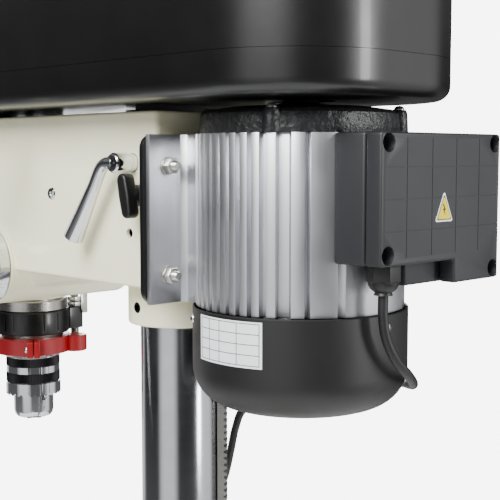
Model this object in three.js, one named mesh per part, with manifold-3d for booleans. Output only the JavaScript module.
// A floor-standing drill press: base, column, swinging table, head, quill, belt drive and finned motor.
// Millimetres, +Z up. The origin is on the column's axis at the floor; the operator stands at -Y.
import * as THREE from "three";
import { mergeVertices } from "three/addons/utils/BufferGeometryUtils.js";
import { ConvexGeometry } from "three/addons/geometries/ConvexGeometry.js";
import Module from "manifold-3d";

const wasm = await Module();
wasm.setup();

// Driving dimensions.
const GAP = 0.3; // between pieces that touch
const COLUMN_R = 36.5;
const SPINDLE_Y = -254; // the spindle's axis, in front of the column's
const MOTOR_Y = 157; // the motor's axis, behind the column's
const HEAD_Z = 1364; // underside of the head casting
const HEAD_HEIGHT = 155;
const HEAD_HALF = 75;
const HEAD_REAR = 58;
const HEAD_FRONT = -332;
const BRACKET_Z = 720; // centre of the table bracket's collar
const QUILL_R = 34;
const FEED_Y = -209;
const FEED_Z = 4; // the feed shaft's height over the head's underside
const BAR_X = 52;
const BAR_Z = 82;
const TENSION_Y = 26;
const TENSION_Z = 110;
const COVER_HALF = 120;
const COVER_FLOOR = 161;
const COVER_SEAM = 194;
const COVER_TOP = 276;
const COVER_WALL = 2.5;
const FRAME_R = 88; // over the motor's fins
const STEP_H = 15; // height of one pulley step
const PULLEY_Z = 168;
const RACK_TURN = (3 * Math.PI) / 4; // the rack is on the column's left rear

// ---- Shapes, joins and cuts ----

function solidOf(geometry) {
  const bare = geometry.clone();
  bare.deleteAttribute("normal");
  bare.deleteAttribute("uv");
  const merged = mergeVertices(bare, 1e-3);
  const vertProperties = merged.attributes.position.array;
  const triVerts = Uint32Array.from(merged.index.array);
  return new wasm.Manifold(new wasm.Mesh({ numProp: 3, vertProperties, triVerts }));
}

function geometryOf(solid) {
  const { vertProperties, triVerts } = solid.getMesh();
  const geometry = new THREE.BufferGeometry();
  geometry.setAttribute("position", new THREE.BufferAttribute(vertProperties, 3));
  geometry.setIndex(new THREE.BufferAttribute(triVerts, 1));
  geometry.computeVertexNormals();
  return geometry;
}

function join(...shapes) {
  return geometryOf(shapes.map(solidOf).reduce((whole, next) => whole.add(next)));
}

function cut(shape, ...tools) {
  return geometryOf(tools.map(solidOf).reduce((rest, tool) => rest.subtract(tool), solidOf(shape)));
}

function block(x0, x1, y0, y1, z0, z1) {
  const box = new THREE.BoxGeometry(x1 - x0, y1 - y0, z1 - z0);
  return box.translate((x0 + x1) / 2, (y0 + y1) / 2, (z0 + z1) / 2);
}

function taper(startR, endR, start, end, sides = 16) {
  const from = new THREE.Vector3(...start);
  const along = new THREE.Vector3(...end).sub(from);
  const turn = new THREE.Quaternion();
  turn.setFromUnitVectors(new THREE.Vector3(0, 1, 0), along.clone().normalize());
  const cone = new THREE.CylinderGeometry(endR, startR, along.length(), sides);
  cone.applyQuaternion(turn);
  from.addScaledVector(along, 0.5);
  return cone.translate(from.x, from.y, from.z);
}

function rod(radius, start, end, sides = 16) {
  return taper(radius, radius, start, end, sides);
}

// A profile of [radius, height] pairs turned round the Z axis.
function turned(profile, sides = 24) {
  const points = profile.map(([r, z]) => new THREE.Vector2(r, z));
  return new THREE.LatheGeometry(points, sides).rotateX(Math.PI / 2);
}

// A turned ring: the profile is closed on itself.
function ring(profile, sides = 24) {
  return turned([...profile, profile[0]], sides);
}

function tube(inner, outer, z0, z1, sides = 24) {
  return ring([[inner, z0], [outer, z0], [outer, z1], [inner, z1]], sides);
}

function roundedRect(x0, x1, y0, y1, r) {
  const shape = new THREE.Shape();
  shape.absarc(x1 - r, y0 + r, r, -Math.PI / 2, 0);
  shape.absarc(x1 - r, y1 - r, r, 0, Math.PI / 2);
  shape.absarc(x0 + r, y1 - r, r, Math.PI / 2, Math.PI);
  shape.absarc(x0 + r, y0 + r, r, Math.PI, 1.5 * Math.PI);
  return shape;
}

function slab(shape, z0, z1, curveSegments = 3) {
  const options = { depth: z1 - z0, bevelEnabled: false, curveSegments };
  return new THREE.ExtrudeGeometry(shape, options).translate(0, 0, z0);
}

function coat(color, roughness, metalness) {
  return new THREE.MeshStandardMaterial({ color, roughness, metalness });
}

const creamPaint = coat(0xe2e0d0, 0.45, 0);
const blackPaint = coat(0x1f2021, 0.3, 0);
const castIron = coat(0x8a8c8e, 0.5, 0.8);
const steel = coat(0xb8babb, 0.3, 1);
const chrome = coat(0xd8d9da, 0.12, 1);
const darkSteel = coat(0x2c2d2e, 0.45, 0.8);
const aluminium = coat(0xc9cacc, 0.35, 1);
const blackPlastic = coat(0x232324, 0.5, 0);
const redPlastic = coat(0xbe1928, 0.4, 0);
const rubber = coat(0x1a1a1a, 0.7, 0);

function mesh(name, geometry, material, ...place) {
  const made = new THREE.Mesh(geometry, material);
  made.name = name;
  made.position.set(...(place.length ? place : [0, 0, 0]));
  return made;
}

function group(...children) {
  const made = new THREE.Group();
  made.add(...children);
  return made;
}

// ---- Stand ----

function baseCasting() {
  const foot = slab(roundedRect(-150, 150, -375, 115, 45), 0, 14);
  const body = slab(roundedRect(-140, 140, -365, 105, 38), 13, 34);
  const workPad = slab(roundedRect(-105, 105, -350, -170, 12), 33, 38);
  const columnPad = rod(88, [0, 0, 33], [0, 0, 42], 28);
  const slots = [-55, 55].map((x) => slab(roundedRect(x - 8, x + 8, -335, -185, 7.9), -1, 50));
  const floorBolts = [-118, 118].flatMap((x) => [-343, 83].map((y) => rod(6.5, [x, y, -1], [x, y, 50], 10)));
  return cut(join(foot, body, workPad, columnPad), ...slots, ...floorBolts);
}

function columnFlange() {
  const bore = COLUMN_R + GAP;
  const casting = ring([[bore, 42.3], [80, 42.3], [80, 56], [62, 62], [52, 76], [48, 92], [48, 140], [bore, 140]], 28);
  const bolts = [45, 135, 225, 315].map((angle) => {
    const x = 69 * Math.cos((angle * Math.PI) / 180);
    const y = 69 * Math.sin((angle * Math.PI) / 180);
    return rod(9, [x, y, 50], [x, y, 67], 6);
  });
  return join(casting, ...bolts);
}

const rackBar = block(COLUMN_R + GAP, 46, -8, 8, 141, HEAD_Z - 41.5);

// ---- Table, measured from the centre of the bracket's collar ----

function tableBracket() {
  const collar = rod(60, [0, 0, -45], [0, 0, 45], 28);
  const neck = block(-38, 38, -112, -40, -32, 32);
  const pivotFace = rod(45, [0, -108, 0], [0, -120, 0], 24);
  const ears = block(50, 88, -16, 16, -24, 24);
  const housing = block(30, 92, -24, 24, -38, 27).rotateZ(RACK_TURN);
  const bore = rod(COLUMN_R + GAP, [0, 0, -50], [0, 0, 50], 28);
  const split = block(30, 90, -2, 2, -50, 50);
  const rackChannel = block(30, 46.6, -8.6, 8.6, -50, 50).rotateZ(RACK_TURN);
  const gearPocket = block(40, 72.6, -9.3, 9.3, -26, 15.5).rotateZ(RACK_TURN);
  const gearPin = rod(4.5, [58.4, -30, 2], [58.4, 14, 2], 16).rotateZ(RACK_TURN);
  const wormBore = rod(6.4, [60, 0, -17.4], [100, 0, -17.4], 20).rotateZ(RACK_TURN);
  const lockBore = rod(6, [74, -20, 0], [74, 20, 0], 20);
  const tiltBore = rod(12.4, [0, -125, 0], [0, -84, 0], 24);
  return cut(
    join(collar, neck, pivotFace, ears, housing),
    bore, split, rackChannel, gearPocket, gearPin, wormBore, lockBore, tiltBore,
  );
}

const liftGear = join(rod(12, [58.4, -8.5, 2], [58.4, 8.5, 2], 20), rod(4, [58.4, -23.5, 2], [58.4, 12.5, 2], 16));

function tableCrank() {
  const worm = rod(7, [48.5, 0, -17.4], [72, 0, -17.4], 16);
  const shaft = rod(6, [71, 0, -17.4], [106, 0, -17.4], 20);
  const arm = block(104, 112, -8, 8, -103, -8);
  return join(worm, shaft, arm);
}

function columnLockLever() {
  const screw = rod(5.6, [74, -30, 0], [74, 22, 0], 16);
  const hub = rod(11, [74, -16.4, 0], [74, -34, 0], 20);
  const arm = rod(5, [74, -28, 0], [110, -28, 60], 12);
  const ball = new THREE.SphereGeometry(11, 12, 8).translate(110, -28, 60);
  return join(screw, hub, arm, ball);
}

function tableArm() {
  const disc = rod(45, [0, -120.3, 0], [0, -134, 0], 24);
  const pin = rod(12, [0, -85, 0], [0, -126, 0], 24);
  const arm = block(-26, 26, SPINDLE_Y, -130, -40, 10);
  const socket = rod(36, [0, SPINDLE_Y, -44], [0, SPINDLE_Y, 40], 24);
  const bore = rod(22.3, [0, SPINDLE_Y, -10], [0, SPINDLE_Y, 50], 24);
  const drillHole = rod(14.3, [0, SPINDLE_Y, -50], [0, SPINDLE_Y, 0], 20);
  const lockBore = rod(5.4, [20, SPINDLE_Y, 20], [45, SPINDLE_Y, 20], 16);
  return cut(join(disc, pin, arm, socket), bore, drillHole, lockBore);
}

// The table's top is 100 above the tilt axis.
function roundTable() {
  const profile = [
    [14, -8], [22, -8], [22, 40.3], [36, 40.3], [36, 60], [60, 80], [160, 84], [162, 66], [170, 66], [170, 98],
    [168, 100], [14, 100],
  ];
  const alongX = roundedRect(60, 145, -7, 7, 6.9);
  const slots = [0, 90, 180, 270].map((turn) => slab(alongX, 60, 110).rotateZ((turn * Math.PI) / 180));
  return cut(ring(profile, 36), ...slots);
}

function tableLockLever() {
  const screw = rod(5, [23, 0, 20], [52, 0, 20], 16);
  const hub = rod(9, [48, 0, 20], [60, 0, 20], 16);
  const bar = rod(4, [55, 0, -14], [55, 0, 50], 12);
  return join(screw, hub, bar);
}

// ---- Head, measured from its underside ----

function headOutline() {
  const shape = new THREE.Shape();
  const front = 55;
  const rear = 6;
  shape.absarc(HEAD_HALF - front, HEAD_FRONT + front, front, -Math.PI / 2, 0);
  shape.absarc(HEAD_HALF - rear, HEAD_REAR - rear, rear, 0, Math.PI / 2);
  shape.absarc(rear - HEAD_HALF, HEAD_REAR - rear, rear, Math.PI / 2, Math.PI);
  shape.absarc(front - HEAD_HALF, HEAD_FRONT + front, front, Math.PI, 1.5 * Math.PI);
  return shape;
}

// The underside narrows from the head's full width to the lip round the quill.
function quillHousing() {
  const corners = [[-75, -50], [75, -50], [75, -280], [-75, -280], [-24, -330], [24, -330]];
  const upper = corners.flatMap(([x, y]) => [new THREE.Vector3(x, y, 0.5), new THREE.Vector3(x, y, 4)]);
  const lip = Array.from({ length: 20 }, (_, i) => {
    const angle = (i * Math.PI) / 10;
    return new THREE.Vector3(40 * Math.cos(angle), SPINDLE_Y + 40 * Math.sin(angle), -29);
  });
  return new ConvexGeometry([...upper, ...lip]);
}

function headCasting() {
  const body = slab(headOutline(), 0, HEAD_HEIGHT);
  const lip = rod(40, [0, SPINDLE_Y, -41], [0, SPINDLE_Y, 0], 28);
  const feedBoss = rod(42, [-79, FEED_Y, FEED_Z], [79, FEED_Y, FEED_Z], 24);
  const columnBore = rod(COLUMN_R + GAP, [0, 0, -1], [0, 0, 93], 28);
  const quillBore = rod(QUILL_R + GAP, [0, SPINDLE_Y, -42], [0, SPINDLE_Y, 160], 28);
  const feedBore = rod(20.8, [-10.5, FEED_Y, FEED_Z], [82, FEED_Y, FEED_Z], 24);
  const feedTail = rod(12.4, [-82, FEED_Y, FEED_Z], [-10, FEED_Y, FEED_Z], 24);
  const barBores = [-BAR_X, BAR_X].map((x) => rod(10.3, [x, HEAD_REAR + 2, BAR_Z], [x, -100, BAR_Z]));
  const tensionBore = rod(8.4, [-80, TENSION_Y, TENSION_Z], [80, TENSION_Y, TENSION_Z], 20);
  const pinionRooms = [-BAR_X, BAR_X].map((x) => rod(18.6, [x - 6, TENSION_Y, TENSION_Z], [x + 6, TENSION_Y, TENSION_Z]));
  const lockBore = rod(4.4, [60, 41, BAR_Z], [78, 41, BAR_Z], 16);
  const setScrew = rod(3.5, [62, 21, 48], [78, 21, 48], 16);
  const rodBore = rod(6, [-48, SPINDLE_Y + 14, -42], [-48, SPINDLE_Y + 14, 140], 16);
  const hollow = block(-58, 58, -178, -52, 14, HEAD_HEIGHT + 1);
  return cut(
    join(body, quillHousing(), lip, feedBoss),
    columnBore, quillBore, feedBore, feedTail, ...barBores, tensionBore, ...pinionRooms, lockBore, setScrew,
    rodBore, hollow,
  );
}

function switchBox() {
  const shell = block(-130, -HEAD_HALF - GAP, -150, -70, 30, 120);
  const hollow = block(-126, -70, -146, -74, 34, 116);
  const leadGland = rod(9, [-105, -95, 31], [-105, -95, 12], 16);
  const supplyGland = rod(9, [-105, -125, 31], [-105, -125, 14], 16);
  return join(cut(shell, hollow), leadGland, supplyGland);
}

function springHousing() {
  const cup = rod(36, [-108, FEED_Y, FEED_Z], [-79.4, FEED_Y, FEED_Z], 24);
  const hollow = rod(32, [-104, FEED_Y, FEED_Z], [-70, FEED_Y, FEED_Z], 24);
  return cut(cup, hollow);
}

// Turned pieces on the feed shaft's axis, which runs along +X.
function feedTurned(profile, sides) {
  return turned(profile, sides).rotateY(Math.PI / 2);
}

const feedShaft = feedTurned([
  [0, -98], [11.4, -98], [11.4, -9.6], [20.4, -9.6], [20.4, 9.6], [11.4, 9.6], [11.4, 38], [20.4, 38], [20.4, 94],
  [14, 94], [14, 146], [0, 146],
], 28);
const depthDial = tube(20.8, 38, 79.4, 93.7, 24).rotateY(Math.PI / 2);
const feedHub = feedTurned([
  [14.3, 94.1], [27, 94.1], [27, 150], [20, 156], [0, 156], [0, 147], [14.3, 147], [14.3, 94.1],
], 28);

function feedHandle() {
  const lean = Math.tan(Math.PI / 12);
  const bar = rod(6, [126, 0, 30], [126 + lean * 125, 0, 155], 12);
  const knob = taper(12, 16, [126 + lean * 122, 0, 152], [126 + lean * 160, 0, 190], 16);
  return join(bar, knob);
}

// ---- Quill and chuck, on the spindle's axis ----

function quillTube() {
  const bore = 15.4;
  const profile = [
    [bore, -104], [QUILL_R, -104], [QUILL_R, -55], [39.5, -55], [39.5, -43], [QUILL_R, -43], [QUILL_R, 138],
    [bore, 138],
  ];
  const rackFlat = block(-10.2, 10.2, 24.1, 40, -42, 139);
  return cut(ring(profile, 28), rackFlat);
}

const spindleShaft = turned([[0, -124], [15, -124], [15, 138], [9, 138], [9, 268], [0, 268]], 24);

const chuckProfile = [
  [0, -140], [10.5, -140], [10.5, -178], [15, -178], [23, -165], [23, -138], [25, -138], [25, -112], [22, -107],
  [15.3, -107], [15.3, -126], [0, -126],
];

function chuckBody() {
  const slots = [0, 120, 240].map((turn) => block(0, 14, -2.8, 2.8, -180, -142).rotateZ((turn * Math.PI) / 180));
  const keyHole = rod(3, [24, 0, -154], [17, 0, -154], 12).rotateZ(Math.PI / 3);
  return cut(turned(chuckProfile, 24), ...slots, keyHole);
}

const chuckSleeve = ring([[23.4, -151], [30, -151], [30, -111], [25.4, -111], [25.4, -138.5], [23.4, -138.5]], 24);
const chuckJaw = block(1.9, 9, -2.5, 2.5, -181, -145);

function depthCollar() {
  const ear = block(-59, -38, 4, 24, -81, -56);
  const rodHole = rod(5.4, [-48, 14, -90], [-48, 14, -50], 16);
  const bore = rod(QUILL_R + GAP, [0, 0, -90], [0, 0, -50], 28);
  return cut(join(rod(41, [0, 0, -81], [0, 0, -55.4], 24), ear), rodHole, bore);
}

const depthNuts = cut(rod(9.2, [0, 0, -55.6], [0, 0, -44], 6), rod(5.4, [0, 0, -60], [0, 0, -40], 12));

function guardRing() {
  const band = rod(43, [0, 0, -103], [0, 0, -85], 24);
  const lobe = rod(13, [-35, 33, -103], [-35, 33, -85], 20);
  const ear = block(30, 57, 8, 26, -103, -85);
  const bore = rod(QUILL_R + GAP, [0, 0, -110], [0, 0, -80], 28);
  return cut(join(band, lobe, ear), bore);
}

// ---- Belt cover ----

function coverOutline(inset) {
  const shape = new THREE.Shape();
  const front = 100;
  const rearY = 180;
  shape.absarc(COVER_HALF - front, -264, front - inset, -Math.PI / 2, 0);
  shape.absarc(0, rearY, COVER_HALF - inset, 0, Math.PI);
  shape.absarc(front - COVER_HALF, -264, front - inset, Math.PI, 1.5 * Math.PI);
  return shape;
}

// A knuckle of the lid's hinge, and the tab that ties it to its wall.
function knuckle(y0, y1, tabZ) {
  return join(rod(4.5, [-124.8, y0, COVER_SEAM], [-124.8, y1, COVER_SEAM], 10), block(-126, -119, y0, y1, ...tabZ));
}

function coverTray() {
  const shell = slab(coverOutline(0), COVER_FLOOR, COVER_SEAM, 5);
  const hollow = slab(coverOutline(COVER_WALL), COVER_FLOOR + COVER_WALL, COVER_SEAM + 10, 5);
  const rails = [[20, 50], [-300, -282]].map(([y0, y1]) => block(-66, 66, y0, y1, HEAD_HEIGHT + GAP, COVER_FLOOR + 1));
  const knuckles = [[-150, -110], [80, 120]].map(([y0, y1]) => knuckle(y0, y1, [184, 193.8]));
  const sleeveHole = rod(24, [0, SPINDLE_Y, 150], [0, SPINDLE_Y, 166], 28);
  const postHole = rod(11, [0, -40, 150], [0, -40, 166], 20);
  const motorSlot = slab(roundedRect(-18, 18, 128, 190, 17.9), 150, 166);
  return cut(join(cut(shell, hollow), ...rails, ...knuckles), sleeveHole, postHole, motorSlot);
}

function coverLid() {
  const shell = slab(coverOutline(0), COVER_SEAM + GAP, COVER_TOP, 5);
  const hollow = slab(coverOutline(COVER_WALL), COVER_SEAM - 10, COVER_TOP - COVER_WALL, 5);
  const knuckles = [[-109, -70], [121, 160]].map(([y0, y1]) => knuckle(y0, y1, [COVER_SEAM + GAP, 204]));
  return join(cut(shell, hollow), ...knuckles);
}

// A pulley of four steps, each with its own radius, from the lowest up.
function stepPulley(bore, radii, sleeveR, sleeveZ) {
  const steps = radii.flatMap((r, i) => [[r, PULLEY_Z + i * STEP_H], [r, PULLEY_Z + (i + 1) * STEP_H]]);
  return ring([[bore, sleeveZ], [sleeveR, sleeveZ], [sleeveR, PULLEY_Z], ...steps, [bore, PULLEY_Z + 4 * STEP_H]], 24);
}

// A belt round two wheels on the line x = 0, whose outline is two arcs and their tangents.
function beltOutline(y0, r0, y1, r1) {
  const shape = new THREE.Shape();
  const tilt = Math.asin((r0 - r1) / (y1 - y0));
  shape.absarc(0, y0, r0, Math.PI - tilt, 2 * Math.PI + tilt);
  shape.absarc(0, y1, r1, tilt, Math.PI - tilt);
  return shape;
}

function belt(y0, r0, y1, r1, level) {
  const z0 = PULLEY_Z + level * STEP_H + 3;
  const outline = beltOutline(y0, r0 + 9, y1, r1 + 9);
  outline.holes.push(beltOutline(y0, r0 + 1.6, y1, r1 + 1.6));
  return slab(outline, z0, z0 + 9, 6);
}

// ---- Motor, on its own axis ----

// The frame's section: straight-sided fins round the back and sides, over a hat-shaped foot.
function finnedSection() {
  const shape = new THREE.Shape();
  const fins = 40;
  const start = -Math.PI / 4;
  const pitch = (1.5 * Math.PI) / fins;
  for (let i = 0; i < fins; i += 1) {
    const angle = start + i * pitch;
    for (const [share, r] of [[0, 81], [0.3, 81], [0.32, FRAME_R], [0.7, FRAME_R], [0.72, 81]]) {
      const at = angle + share * pitch;
      shape.lineTo(r * Math.cos(at), r * Math.sin(at));
    }
  }
  shape.curves.shift();
  return shape;
}

function motorFrame() {
  const body = slab(finnedSection(), -8, 134);
  const neck = block(-64, 64, -82, -40, -8, 134);
  const feet = block(-99.5, 99.5, -82, -77.5, -8, 134);
  return cut(join(body, neck, feet), rod(68.3, [0, 0, -10], [0, 0, 140], 28));
}

function endShield() {
  const profile = [[9, 134.3], [84, 134.3], [84, 150], [78, 153], [13, 158], [13, 167], [9, 167]];
  const lugs = [45, 135, 225, 315].map((angle) => {
    const x = 84 * Math.cos((angle * Math.PI) / 180);
    const y = 84 * Math.sin((angle * Math.PI) / 180);
    return rod(8, [x, y, 134.3], [x, y, 157], 10);
  });
  return join(ring(profile, 28), ...lugs);
}

const rotorProfile = [[0, -70], [8, -70], [8, 22], [46, 22], [46, 108], [8, 108], [8, 234], [0, 234]];

function coolingFan() {
  const disc = tube(8.3, 72, -42, -37, 24);
  const hub = tube(8.3, 18, -52, -28, 24);
  const blades = Array.from({ length: 6 }, (_, i) => block(16, 68, -1.5, 1.5, -38, -24).rotateZ((i * Math.PI) / 3));
  return join(disc, hub, ...blades);
}

// The rim's arc runs down from the cup's side to its flat bottom.
function cupArc(radius, from, to) {
  return Array.from({ length: 5 }, (_, i) => {
    const angle = from + ((to - from) * i) / 4;
    return [58 + radius * Math.cos(angle), -59 + radius * Math.sin(angle)];
  });
}

const fanCoverProfile = [
  [20, -92], ...cupArc(33, -Math.PI / 2, 0), [91, -8.4], [89, -8.4], ...cupArc(31, 0, -Math.PI / 2), [20, -90],
];

function terminalBox() {
  const box = block(-113.5, 44.5, 65, 105, 34, 134);
  const chin = block(-113.5, -33, 75, 105, 15, 36);
  const seat = rod(FRAME_R + 0.8, [0, 0, 0], [0, 0, 140], 36);
  return cut(join(box, chin), seat);
}

const terminalCover = join(block(-113.5, 44.5, 105.3, 121, 34, 134), block(-113.5, -33, 105.3, 121, 15, 36));
const cableGland = ring([[2, 10], [7, 10], [11.5, 15], [11.5, 20], [13.5, 23], [13.5, 33.7], [2, 33.7]], 12);
const plateShape = roundedRect(-102.5, 102.5, -8, 134, 12);
const motorPlate = slab(plateShape, 0, 5).rotateX(Math.PI / 2).translate(0, -82.5, 0);

function tensionLever() {
  const shaft = rod(8, [-74, TENSION_Y, TENSION_Z], [84, TENSION_Y, TENSION_Z], 14);
  const pinions = [-BAR_X, BAR_X].map((x) => rod(17.6, [x - 5, TENSION_Y, TENSION_Z], [x + 5, TENSION_Y, TENSION_Z], 14));
  const hub = rod(12, [78, TENSION_Y, TENSION_Z], [102, TENSION_Y, TENSION_Z], 14);
  const root = rod(5, [93, TENSION_Y, TENSION_Z], [93, 5, TENSION_Z], 10);
  const elbow = new THREE.SphereGeometry(5, 10, 6).translate(93, 5, TENSION_Z);
  const handle = taper(4.8, 7, [93, 5, TENSION_Z], [93, -39, 42], 10);
  return join(shaft, ...pinions, hub, root, elbow, handle);
}

function tensionLockKnob() {
  const stud = rod(4, [62.6, 41, BAR_Z], [82, 41, BAR_Z], 14);
  const hub = rod(10, [79, 41, BAR_Z], [96, 41, BAR_Z], 16);
  const wings = block(88, 105, 35, 47, BAR_Z - 19, BAR_Z + 19);
  return join(stud, hub, wings);
}

// The lead hangs from the motor's gland, passes left of the fan cover and the column, and rises to the switch box.
const leadRoute = [
  [17, 259, 9.6], [17, 259, -6], [14, 260, -24], [4, 262, -42], [-14, 261, -57], [-38, 248, -69], [-62, 228, -77],
  [-82, 204, -82], [-94, 174, -88], [-98, 140, -97], [-96, 100, -108], [-91, 62, -118], [-84, 30, -128],
  [-78, 8, -140], [-77, -2, -160], [-78, -10, -185], [-80, -20, -212], [-83, -34, -234], [-88, -54, -246],
  [-95, -74, -240], [-101, -88, -220], [-104, -94, -190], [-105, -95, -150], [-105, -95, -100], [-105, -95, -50],
  [-105, -95, -10], [-105, -95, 11.6],
];

function motorLead() {
  const path = new THREE.CatmullRomCurve3(leadRoute.map((p) => new THREE.Vector3(...p)));
  const section = new THREE.Shape();
  section.absarc(0, 0, 4, 0, 2 * Math.PI);
  return new THREE.ExtrudeGeometry(section, { extrudePath: path, steps: 42, curveSegments: 4 });
}

// ---- Assembly ----

const stand = group(
  mesh("base", baseCasting(), creamPaint),
  mesh("column_flange", columnFlange(), creamPaint),
  mesh("column", tube(32, COLUMN_R, 42.4, 1455, 28), steel),
  mesh("rack_collar", tube(COLUMN_R + GAP, 48, HEAD_Z - 41, HEAD_Z - GAP, 28), creamPaint),
  mesh("rack", rackBar, steel),
);
stand.children[4].rotation.z = RACK_TURN;

const liftDrive = group(
  mesh("lift_gear", liftGear, steel),
  mesh("table_crank", tableCrank(), steel),
  mesh("crank_grip", rod(9, [112.3, 0, -94], [175, 0, -94], 16), blackPlastic),
);
liftDrive.rotation.z = RACK_TURN;

const tableUnit = group(
  mesh("table_bracket", tableBracket(), creamPaint),
  liftDrive,
  mesh("column_lock_lever", columnLockLever(), darkSteel),
  mesh("table_arm", tableArm(), creamPaint),
  mesh("table", roundTable(), castIron, 0, SPINDLE_Y, 0),
  mesh("table_lock_lever", tableLockLever(), darkSteel, 0, SPINDLE_Y, 0),
);
tableUnit.position.z = BRACKET_Z;

const quillUnit = group(
  mesh("quill", quillTube(), steel),
  mesh("spindle", spindleShaft, steel),
  mesh("chuck_body", chuckBody(), chrome),
  mesh("chuck_sleeve", chuckSleeve, darkSteel),
  mesh("depth_collar", depthCollar(), blackPaint),
  mesh("depth_rod", rod(5, [0, 0, -90], [0, 0, 100], 12), darkSteel, -48, 14, 0),
  mesh("depth_nuts", depthNuts, darkSteel, -48, 14, 0),
  mesh("guard_ring", guardRing(), redPlastic),
);
for (let i = 0; i < 3; i += 1) {
  const jaw = mesh("chuck_jaw_" + (i + 1), chuckJaw, steel);
  jaw.rotation.z = (i * 2 * Math.PI) / 3;
  quillUnit.add(jaw);
}
quillUnit.position.y = SPINDLE_Y;

const feedUnit = group(
  mesh("feed_shaft", feedShaft, steel),
  mesh("depth_dial", depthDial, aluminium),
  mesh("feed_hub", feedHub, chrome),
  mesh("return_spring", tube(14, 30, -101, -82, 24).rotateY(Math.PI / 2), darkSteel),
);
[30, 150, 270].forEach((angle, i) => {
  const handle = mesh("feed_handle_" + (i + 1), feedHandle(), chrome);
  handle.rotation.x = (-angle * Math.PI) / 180;
  feedUnit.add(handle);
});
feedUnit.position.set(0, FEED_Y, FEED_Z);

const drive = group(
  mesh("spindle_pulley", stepPulley(9.3, [70, 60, 50, 40], 20, 140), aluminium, 0, SPINDLE_Y, 0),
  mesh("idler_bracket", join(rod(24, [0, 0, HEAD_HEIGHT + GAP], [0, 0, 160], 24), rod(8, [0, 0, 158], [0, 0, 233], 20)),
    castIron, 0, -40, 0),
  mesh("idler_pulley", stepPulley(8.3, [40, 50, 60, 70], 14, 164), aluminium, 0, -40, 0),
  mesh("belt_front", belt(SPINDLE_Y, 70, -40, 40, 0), rubber),
  mesh("belt_rear", belt(-40, 70, MOTOR_Y, 30, 3), rubber),
  mesh("belt_cover_tray", coverTray(), blackPaint),
  mesh("belt_cover_lid", coverLid(), blackPaint),
  mesh("lid_knob", rod(12, [0, -364.3, 235], [0, -386, 235], 20), blackPlastic),
);

const motorUnit = group(
  mesh("motor_plate", motorPlate, blackPaint),
  mesh("motor_frame", motorFrame(), aluminium),
  mesh("motor_stator", tube(48, 67.4, 20, 110, 20), darkSteel),
  mesh("motor_rotor", turned(rotorProfile, 28), steel),
  mesh("motor_pulley", stepPulley(8.3, [60, 50, 40, 30], 12, 167.4), aluminium),
  mesh("motor_end_shield", endShield(), darkSteel),
  mesh("motor_lower_shield", tube(8.4, 80, -20, -8.3, 28), darkSteel),
  mesh("motor_fan", coolingFan(), blackPlastic),
  mesh("motor_fan_cover", ring(fanCoverProfile, 24), blackPaint),
  mesh("terminal_box", terminalBox(), blackPlastic),
  mesh("terminal_box_cover", terminalCover, blackPlastic),
  mesh("cable_gland", cableGland, blackPlastic, 17, 102, 0),
);
for (const [name, x] of [["slide_bar_left", -BAR_X], ["slide_bar_right", BAR_X]]) {
  motorUnit.add(mesh(name, rod(10, [x, -85 - MOTOR_Y, BAR_Z], [x, -87.8, BAR_Z]), steel));
}
motorUnit.position.y = MOTOR_Y;

const headUnit = group(
  mesh("head_casting", headCasting(), creamPaint),
  mesh("switch_box", switchBox(), blackPlastic),
  mesh("switch_paddle", block(-122, -84, -163, -150.4, 50, 105), redPlastic),
  mesh("spring_housing", springHousing(), blackPaint),
  mesh("tension_lever", tensionLever(), chrome),
  mesh("tension_lock_knob", tensionLockKnob(), blackPlastic),
  mesh("motor_lead", motorLead(), rubber),
  quillUnit,
  feedUnit,
  drive,
  motorUnit,
);
headUnit.position.z = HEAD_Z;

export default group(stand, tableUnit, headUnit);
